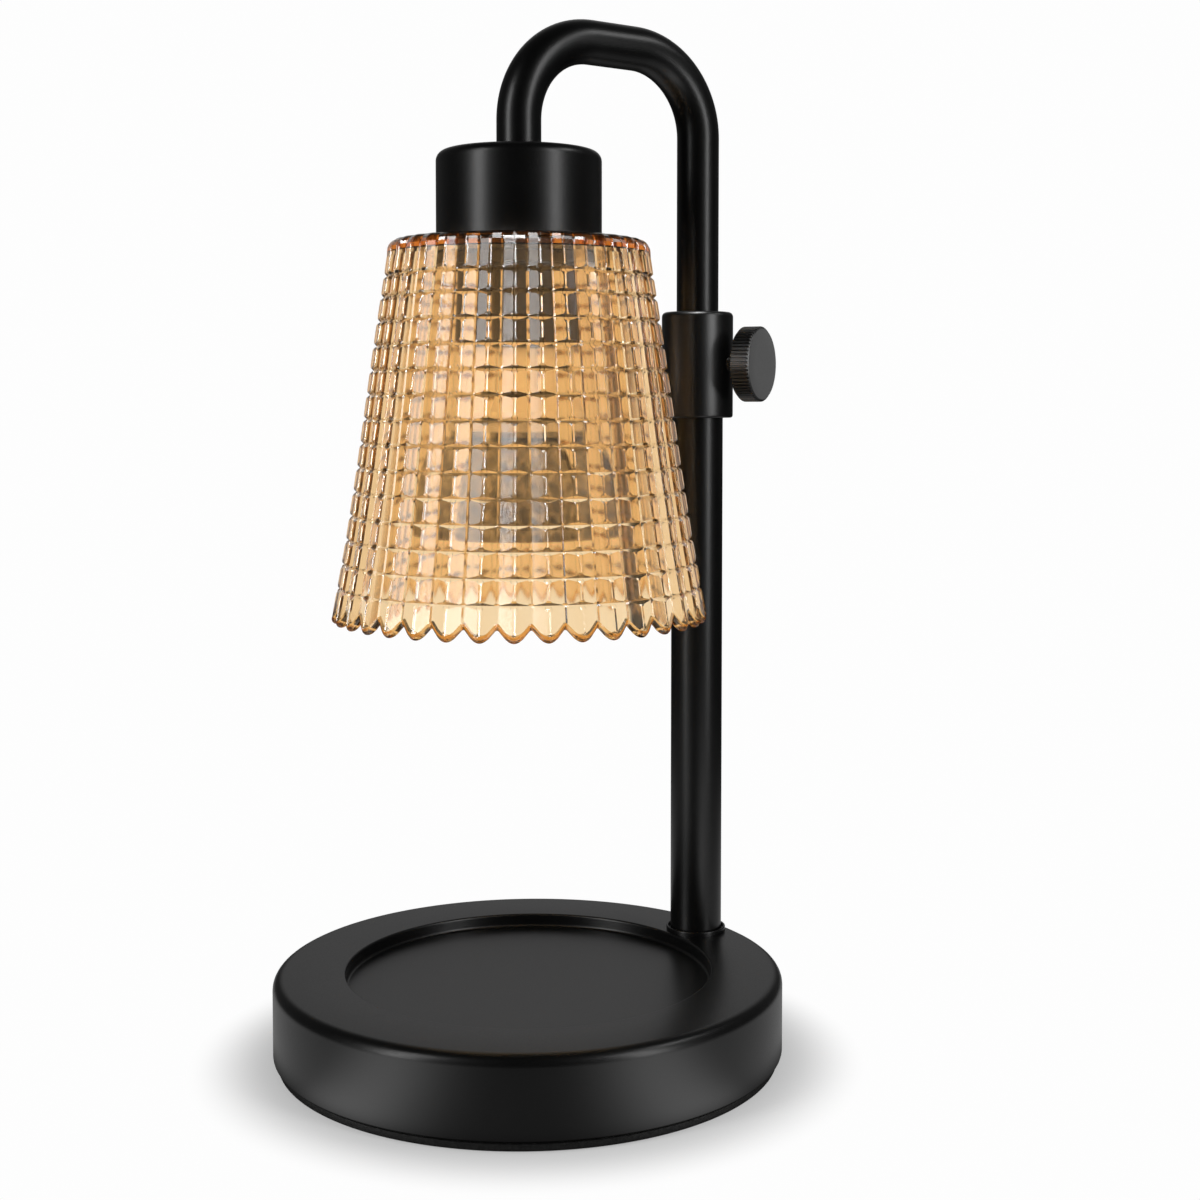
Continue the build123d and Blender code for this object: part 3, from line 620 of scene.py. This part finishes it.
def ribbed(name, places):
    """A glass body of rings. Each place gives (radius, height) for a share of the way from valley to ridge,
    and its corner widens the upright grooves, which cuts off the cells' corners."""
    # (share, toward) across a facet. toward is 0 in a groove, 1 or -1 at a groove's lip, on the side that the
    # facet lies, and None between
    half_rib = [(0, 0), (0, 1), (0.2, None), (0.5, None), (0.7, None), (0.82, None), (1, -1)]
    rib = half_rib + [(1, 0)] + half_rib[:0:-1]
    rib_turn = 2 * math.pi / RIBS
    verts, rings = [], []
    for place, corner in places:
        rings.append(list(range(len(verts), len(verts) + RIBS * len(rib))))
        for n in range(RIBS):
            for i, (share, toward) in enumerate(rib):
                in_groove = toward == 0
                r, z = place(share, in_groove)
                if toward:
                    share += toward * (LIP_HALF_W + corner) / (r * rib_turn / 2)
                    r, z = place(share, in_groove)
                a = (n + (share if i <= len(half_rib) else 2 - share) / 2) * rib_turn
                verts.append((r * math.cos(a), HEAD_Y + r * math.sin(a), z))
    return make_piece(name, verts, strips(rings, True), "amber_glass", "arm", ["shade_glass"], 12.0)


def outside(z, share, in_groove):
    """The outside's radius at height z, on a facet or in an upright groove."""
    return facet_radius(z, share) - (LIP_DEPTH if in_groove else 0)


def cross_groove(z, side, away=0.0):
    """The groove's floor for side 0, and its lower or upper edge, or a line away from it, for side -1
    or 1."""
    floor_r = ridge_radius(z) - GROOVE_DEPTH

    def place(share, in_groove):
        surface_r = outside(z, share, in_groove)
        depth = max(surface_r - floor_r, 0.05)
        at_z = z + side * (depth * GROOVE_HALF_W / GROOVE_DEPTH + away)
        if side == 0:
            return min(floor_r, surface_r), z
        return outside(at_z, share, in_groove), at_z
    return place


def rim_line(share):
    """Height of the line where the rounded rim begins."""
    return SHADE_LOW_Z + scallop(share) + RIM_ROUND


def make_shade():
    """Every rib is two flat facets that meet at a ridge. Grooves along and across cut them into raised
    cells."""
    def low_edge(lift, inside=False):
        def place(share, in_groove):
            z = rim_line(share) + lift
            return (ridge_radius(z) - GLASS_T if inside else outside(z, share, in_groove)), z
        return place

    places = [(low_edge(RIM_GAP), 0), (low_edge(RIM_LINE), 0)]
    for z in reversed((BAND_GROOVE_Z, *GROOVE_ROWS)):
        places += [
            (cross_groove(z, -1, CORNER), 0),
            (cross_groove(z, -1), CORNER),
            (cross_groove(z, 0), 0),
            (cross_groove(z, 1), CORNER),
            (cross_groove(z, 1, CORNER), 0),
        ]
    places.append((lambda share, in_groove: (outside(BAND_TOP_Z, share, in_groove), BAND_TOP_Z), 0))
    turn_z = SHADE_TOP_Z - SHOULDER_R
    shoulder = arc((ROOF_R - SHOULDER_R, turn_z), (ROOF_R, turn_z), math.radians(78), SHOULDER_STEPS)
    for step, (r, z) in enumerate(shoulder):
        fade = LIP_DEPTH * (1 - step / SHOULDER_STEPS)
        places.append((lambda share, in_groove, r=r, z=z, fade=fade:
                       (r * facet_radius(z, share) / ridge_radius(z) - fade * in_groove, z), 0))
    roof = SHADE_TOP_Z - ROOF_T
    inner_r = ROOF_R - GLASS_T
    inside = [
        (HOLE_R + 0.4, SHADE_TOP_Z),
        (HOLE_R, SHADE_TOP_Z - 0.4),
        (HOLE_R, roof),
        (inner_r - 1.5, roof),
        (inner_r - 0.4, roof - 0.45),
        (inner_r + 0.05, roof - 1.5),
    ]
    inside += [(r - GLASS_T, z) for z, r in reversed(SHADE_LEVELS[1:5])]
    places += [(lambda share, in_groove, r=r, z=z: (r, z), 0) for r, z in inside]
    places.append((low_edge(RIM_GAP, True), 0))
    return ribbed("ribbed_shade", places)


def make_rim():
    """The shade's fire-polished rim: a rounded bead that follows the wave. Its deeper amber tint is painted
    shade: it stands in for the long path of light through the rounded glass, which looks deepest here."""
    def bead(angle):
        """0 is the outside of the wall, 90 degrees the lowest line and 180 the inside."""
        def place(share, in_groove):
            z = rim_line(share) - RIM_ROUND * math.sin(angle)
            outer, inner = facet_radius(z, share), ridge_radius(z) - GLASS_T
            return (outer + inner) / 2 + (outer - inner) / 2 * math.cos(angle), z
        return place

    rim = ribbed("shade_rim", [(bead(math.radians(22.5 * k)), 0) for k in range(9)])
    # A deeper amber is painted on the rim. It stands in for the long light path through it
    rim.data.materials[0] = amber_glass("amber_rim_painted_depth", RIM_PAINTED_DEPTH_TINT)
    return rim


# ---------------------------------------------------------------- bulb

def make_reflector():
    """A bowl pressed into flat facets, with a plain rim."""
    facets, rows, wall = 30, 8, 1.2
    neck_r, neck_z, mouth_r, mouth_z = 15.2, 182.0, 24.5, 157.2
    bowl = [(14.0, 184.0), (14.2, 182.6)]
    low, high = math.radians(12), math.radians(88)
    for k in range(rows + 1):
        a = low + (high - low) * k / rows
        share = (math.sin(a) - math.sin(low)) / (math.sin(high) - math.sin(low))
        drop = (math.cos(low) - math.cos(a)) / (math.cos(low) - math.cos(high))
        bowl.append((neck_r + (mouth_r - neck_r) * share, neck_z - (neck_z - mouth_z) * drop))
    seat_r = BULB_R - 0.95
    outer = bowl + [(BULB_R, 157.0), (BULB_R, BULB_FACE_Z), (seat_r, BULB_FACE_Z), (seat_r, 156.2)]
    inner = [(r - wall, z) for r, z in reversed(bowl)]
    inner += [(12.8, 184.8), (5.0, 184.8), (5.0, 186.0), (14.0, 186.0)]
    verts, rings = [], []
    for n, (r, z) in enumerate(outer + inner):
        plain = z < 157.1 or z >= 184.0
        rings.append(list(range(len(verts), len(verts) + 2 * facets)))
        for i in range(2 * facets):
            a = math.pi * i / facets
            flat = 1.0 if plain or i % 2 == 0 else math.cos(math.pi / facets)
            verts.append((r * flat * math.cos(a), HEAD_Y + r * flat * math.sin(a), z))
    faces = strips(rings, True)
    make_piece("facet_reflector", verts, faces, "silvered_glass", "arm", ["bulb_reflector"], 4.0)


def make_bulb():
    """The spotlight bulb: facetted reflector, front glass and ceramic base."""
    make_reflector()
    at = (0.0, HEAD_Y)
    turned("front_lens", [
        (0, BULB_FACE_Z + 0.5),
        (20.6, BULB_FACE_Z + 0.5, 0.5),
        (21.8, BULB_FACE_Z + 0.05, 0.4),
        (24.0, BULB_FACE_Z + 0.05, 0.3),
        (24.0, BULB_FACE_Z + 2.1, 0.3),
        (0, BULB_FACE_Z + 2.1),
    ], "clear_glass", "arm", ["bulb_lens"], at, 160)
    turned("bulb_ceramic", [
        (6.0, 186.0),
        (14.0, 186.0),
        (14.0, 190.0, 1.0),
        (10.5, 197.0, 3.0),
        (10.0, 208.6, 0.8),
        (0, 208.6),
        (0, 199.0),
        (6.0, 197.0),
    ], "white_ceramic", "arm", ["bulb_base"], at, 128)


# ---------------------------------------------------------------- studio

def aimed(obj, at, target):
    """Puts an object at a point and turns its -Z towards the target."""
    obj.location = at
    obj.rotation_mode = "XYZ"
    obj.rotation_euler = (Vector(target) - Vector(at)).to_track_quat("-Z", "Y").to_euler()


def soft_box(name, bearing, distance, height, size, radiance, target=(0, 0, 0.15)):
    """A rectangular lamp at a bearing from the camera's side, of a given brightness per area."""
    data = bpy.data.lights.new(name, "AREA")
    data.shape = "RECTANGLE"
    data.size, data.size_y = size
    data.energy = radiance * math.pi * size[0] * size[1]
    lamp = bpy.data.objects.new(name, data)
    bpy.context.scene.collection.objects.link(lamp)
    a = math.radians(VIEW_BEARING + bearing)
    aimed(lamp, (distance * math.sin(a), -distance * math.cos(a), height), target)
    lamp.visible_camera = False
    lamp.visible_transmission = False
    return lamp


def strength_node(tree, value):
    """A white background whose strength is the given value."""
    lit = add(tree, "ShaderNodeBackground", Color=(1, 1, 1, 1))
    tree.links.new(value, lit.inputs["Strength"])
    return lit.outputs["Background"]


def ranged(tree, value, low, high, to_low, to_high):
    """The value carried softly from the range low to high into to_low to to_high, and kept inside it."""
    node = add(tree, "ShaderNodeMapRange", interpolation_type="SMOOTHSTEP")
    node.inputs["From Min"].default_value = low
    node.inputs["From Max"].default_value = high
    node.inputs["To Min"].default_value = to_low
    node.inputs["To Max"].default_value = to_high
    tree.links.new(value, node.inputs["Value"])
    return node.outputs["Result"]


def mirror_only(tree, path):
    """1 for a ray that comes off a mirror surface. A ray refracted by glass counts as glossy too, so it is
    left out."""
    node = add(tree, "ShaderNodeMath", operation="GREATER_THAN")
    tree.links.new(path.outputs["Is Glossy Ray"], node.inputs[0])
    tree.links.new(path.outputs["Is Transmission Ray"], node.inputs[1])
    return node.outputs["Value"]


def blend_shaders(tree, share, first, second):
    """The second shader by that share, over the first."""
    mix = add(tree, "ShaderNodeMixShader")
    tree.links.new(share, mix.inputs["Fac"])
    tree.links.new(first, mix.inputs[1])
    tree.links.new(second, mix.inputs[2])
    return mix.outputs["Shader"]


def panels_for(pieces, name, target, boxes):
    """Soft boxes that give highlights to some pieces alone. A box is (bearing, distance, height, size,
    radiance)."""
    group = bpy.data.collections.new(name)
    for piece in pieces:
        group.objects.link(piece)
    for n, (bearing, distance, height, size, radiance) in enumerate(boxes):
        lamp = soft_box(f"{name}_{n}", bearing, distance, height, size, radiance, target)
        lamp.light_linking.receiver_collection = group
        lamp.light_linking.blocker_collection = group
        lamp.visible_diffuse = False


def spare(lamp, pieces):
    """The lamp lights everything but these pieces."""
    group = bpy.data.collections.new(f"{lamp.name}_spared")
    for piece in pieces:
        group.objects.link(piece)
    for entry in group.collection_objects:
        entry.light_linking.link_state = "EXCLUDE"
    lamp.light_linking.receiver_collection = group


def glass_panels(glass):
    """Wide dim boxes, two that brighten single facets, a comb of narrow ones between the bearings that the
    flat facets mirror, which shows in the grooves' slopes and outlines the cells, and bars above."""
    comb_from, comb_step = 16, 20
    boxes = [(bearing, 0.80, 0.42, (0.80, 0.60), FRONT_PANEL_RADIANCE) for bearing in (-52, 52)]
    boxes += [(bearing, 0.80, 0.42, (0.60, 0.60), REAR_PANEL_RADIANCE) for bearing in (-142, 142)]
    boxes += [(bearing, 0.60, 0.36, (0.085, 0.45), CELL_RADIANCE) for bearing in (-33, -14)]
    boxes += [(comb_from + comb_step * k, 1.50, 0.62, (0.11, 1.10), COMB_RADIANCE) for k in range(-6, 5)]
    boxes += [(bearing, 0.36, 0.66, (0.55, 0.07), BAR_RADIANCE) for bearing in (-62, 0, 62)]
    boxes.append((0.0, 0.05, 0.90, (0.20, 0.20), BAR_RADIANCE))
    panels_for(glass, "glass_panel", (0, 0, 0.19), boxes)


def knob_panels(knob):
    """One box behind, which the knob's face mirrors, and two for its rim and teeth."""
    panels_for([knob], "knob_panel", (0.017, 0.072, 0.204), [
        (125.0, 0.60, 0.30, (0.30, 0.45), 0.8),
        (-55.0, 0.50, 0.42, (0.14, 0.60), 6.0),
        (34.0, 0.50, 0.30, (0.20, 0.60), 14.0),
    ])


def collar_panels(collar):
    """Boxes for the highlights down the collar's sides and along its top edge."""
    panels_for([collar], "collar_panel", (0.0, 0.0636, 0.204), [
        (-70.0, 0.80, 0.20, (0.12, 0.80), 3.0),
        (42.5, 0.80, 0.20, (0.16, 0.80), 4.5),
        (0.0, 0.10, 0.90, (0.30, 0.30), 26.0),
    ])


def make_world():
    """A studio: white for the eye, white panels with dimmer gaps for the glass, and a dark room for the
    gloss."""
    world = bpy.data.worlds.new("studio")
    bpy.context.scene.world = world
    world.use_nodes = True
    tree = world.node_tree
    tree.nodes.clear()
    path = add(tree, "ShaderNodeLightPath")
    direction = add(tree, "ShaderNodeTexCoord").outputs["Generated"]
    fill = add(tree, "ShaderNodeBackground", Color=(1, 1, 1, 1), Strength=WORLD_FILL).outputs["Background"]
    white = add(tree, "ShaderNodeBackground", Color=(WHITE, WHITE, WHITE, 1), Strength=1.0)

    # Panels all round: six bright ones with dimmer gaps between them
    split = add(tree, "ShaderNodeSeparateXYZ")
    tree.links.new(direction, split.inputs["Vector"])
    bearing = add(tree, "ShaderNodeMath", operation="ARCTAN2")
    tree.links.new(split.outputs["Y"], bearing.inputs[0])
    tree.links.new(split.outputs["X"], bearing.inputs[1])
    phase = add(tree, "ShaderNodeMath", operation="MULTIPLY_ADD")
    phase.inputs[1].default_value = PANELS
    phase.inputs[2].default_value = -PANELS * math.radians(VIEW_BEARING + 90)
    tree.links.new(bearing.outputs["Value"], phase.inputs[0])
    wave = add(tree, "ShaderNodeMath", operation="SINE")
    tree.links.new(phase.outputs["Value"], wave.inputs[0])
    panels = strength_node(tree, ranged(tree, wave.outputs["Value"], -0.8, 0.8, PANEL_DIM, WHITE))

    # What the gloss sees: a dark room, a little paler at the back, with a pale patch above its horizon
    ahead = math.radians(VIEW_BEARING)
    lift = math.radians(GLOSS_LIFT)
    toward = add(tree, "ShaderNodeVectorMath", operation="DOT_PRODUCT")
    toward.inputs[1].default_value = (math.sin(ahead), -math.cos(ahead), 0.0)
    tree.links.new(direction, toward.inputs[0])
    along = add(tree, "ShaderNodeVectorMath", operation="DOT_PRODUCT")
    level = math.cos(lift)
    along.inputs[1].default_value = (-math.sin(ahead) * level, math.cos(ahead) * level, math.sin(lift))
    tree.links.new(direction, along.inputs[0])
    dark = ranged(tree, toward.outputs["Value"], -0.7, 0.2, GLOSS_BACK, GLOSS_FRONT)
    pale = ranged(tree, along.outputs["Value"], 0.86, 1.0, 0.0, GLOSS_PALE)
    room = add(tree, "ShaderNodeMath", operation="ADD")
    tree.links.new(dark, room.inputs[0])
    tree.links.new(pale, room.inputs[1])
    gloss = strength_node(tree, room.outputs["Value"])

    # What is mirrored inside the glass: pale but for the camera's side
    inner = strength_node(tree, ranged(tree, toward.outputs["Value"], 0.75, 0.97, 0.95, INNER_DARK))

    mirrored = add(tree, "ShaderNodeMath", operation="MINIMUM")
    mirrored.inputs[1].default_value = 1.0
    tree.links.new(path.outputs["Glossy Depth"], mirrored.inputs[0])
    lit = blend_shaders(tree, path.outputs["Is Transmission Ray"], fill, panels)
    lit = blend_shaders(tree, mirrored.outputs["Value"], lit, inner)
    lit = blend_shaders(tree, mirror_only(tree, path), lit, gloss)
    lit = blend_shaders(tree, path.outputs["Is Camera Ray"], lit, white.outputs["Background"])
    output = add(tree, "ShaderNodeOutputWorld")
    tree.links.new(lit, output.inputs["Surface"])


def make_floor():
    """A pale floor that keeps the lamp's shadow near the base and is plain white further out."""
    bpy.ops.mesh.primitive_circle_add(vertices=96, radius=9.0, fill_type="NGON", location=(0, 0, -0.0002))
    floor = bpy.context.object
    floor.name = "floor"
    material, tree, surface = new_material("pale_floor")
    tree.nodes.remove(surface)
    path = add(tree, "ShaderNodeLightPath")
    seen = add(tree, "ShaderNodeMath", operation="MAXIMUM")
    tree.links.new(path.outputs["Is Camera Ray"], seen.inputs[0])
    tree.links.new(path.outputs["Is Transmission Ray"], seen.inputs[1])
    place = add(tree, "ShaderNodeTexCoord")
    length = add(tree, "ShaderNodeVectorMath", operation="LENGTH")
    tree.links.new(place.outputs["Object"], length.inputs[0])
    grey = add(tree, "ShaderNodeBsdfDiffuse", Color=(FLOOR_GREY, FLOOR_GREY, FLOOR_GREY, 1)).outputs["BSDF"]
    plain = add(tree, "ShaderNodeEmission", Color=(WHITE, WHITE, WHITE, 1), Strength=1.0).outputs["Emission"]
    outward = ranged(tree, length.outputs["Value"], FLOOR_NEAR, FLOOR_FAR, FLOOR_LIFT, 1.0)
    lifted = add(tree, "ShaderNodeMath", operation="MULTIPLY")
    tree.links.new(outward, lifted.inputs[0])
    tree.links.new(seen.outputs["Value"], lifted.inputs[1])
    bare = blend_shaders(tree, lifted.outputs["Value"], grey, plain)
    # What the gloss sees of it: dark in front, a painted shadow close to the foot, and painted light brighter
    # than white at the sides, which gives the base's side its highlights
    round_lamp = add(tree, "ShaderNodeVectorMath", operation="NORMALIZE")
    tree.links.new(place.outputs["Object"], round_lamp.inputs[0])
    front = add(tree, "ShaderNodeVectorMath", operation="DOT_PRODUCT")
    ahead = math.radians(VIEW_BEARING)
    front.inputs[1].default_value = (math.sin(ahead), -math.cos(ahead), 0.0)
    tree.links.new(round_lamp.outputs["Vector"], front.inputs[0])
    mirrored = add(tree, "ShaderNodeEmission", Color=(1, 1, 1, 1))
    # Painted light: the mirrored floor glows brighter than white at the sides, and the base's side mirrors it
    # as highlights
    sides = ranged(tree, front.outputs["Value"], 0.76, 1.0, FLOOR_GLOSS_SIDE, FLOOR_GLOSS_FRONT)
    behind = ranged(tree, front.outputs["Value"], 0.42, 0.74, FLOOR_GLOSS_BACK / FLOOR_GLOSS_SIDE, 1.0)
    # Painted shadow: the mirrored floor goes dark close to the foot
    past_painted_shadow = ranged(tree, length.outputs["Value"], FLOOR_NEAR, FLOOR_GLOSS_NEAR, 0.0, 1.0)
    far_from, far_to, far_level = FLOOR_GLOSS_FAR
    far = ranged(tree, length.outputs["Value"], far_from, far_to, 1.0, far_level)
    level = add(tree, "ShaderNodeMath", operation="MULTIPLY")
    tree.links.new(sides, level.inputs[0])
    tree.links.new(behind, level.inputs[1])
    for share in (past_painted_shadow, far):
        shaded = add(tree, "ShaderNodeMath", operation="MULTIPLY")
        tree.links.new(level.outputs["Value"], shaded.inputs[0])
        tree.links.new(share, shaded.inputs[1])
        level = shaded
    tree.links.new(level.outputs["Value"], mirrored.inputs["Strength"])
    shown = blend_shaders(tree, mirror_only(tree, path), bare, mirrored.outputs["Emission"])
    tree.links.new(shown, tree.nodes["Material Output"].inputs["Surface"])
    floor.data.materials.append(material)


def make_camera():
    """The camera, at the bearing that VIEW_BEARING states."""
    data = bpy.data.cameras.new("camera")
    data.sensor_width = 36.0
    data.lens = 54.28
    data.shift_y = -0.0833
    data.clip_start = 0.01
    camera = bpy.data.objects.new("camera", data)
    bpy.context.scene.collection.objects.link(camera)
    camera.location = (0.441564, -0.292658, 0.193387)
    camera.rotation_euler = (math.radians(86.8267), 0.0, math.radians(VIEW_BEARING))
    bpy.context.scene.camera = camera


# ---------------------------------------------------------------- put together

materials = make_materials()
for item in frame["record"]["subparts"]:
    node = frame["nodes"][item["node"]]
    node.data.materials.clear()
    node.data.materials.append(materials[item["material_slot"]])

make_base()
make_foot()
make_pole()
make_riser()
collar = make_collar()
knob = make_knob()
make_hook()
make_cap()
shade = make_shade()
rim = make_rim()
make_bulb()

make_world()
make_floor()
tall = (0.26, 1.3)
soft_box("left_box", -54.0, 1.15, 0.40, tall, 6.0)
right_box = soft_box("right_box", 53.0, 1.15, 0.40, tall, 5.5)
spare(right_box, [shade, rim])
soft_box("top_box", 81.5, 0.80, 0.89, (0.30, 0.22), 5.0)
glass_panels([shade, rim])
knob_panels(knob)
collar_panels(collar)
make_camera()

bpy.context.scene.view_settings.view_transform = "Standard"
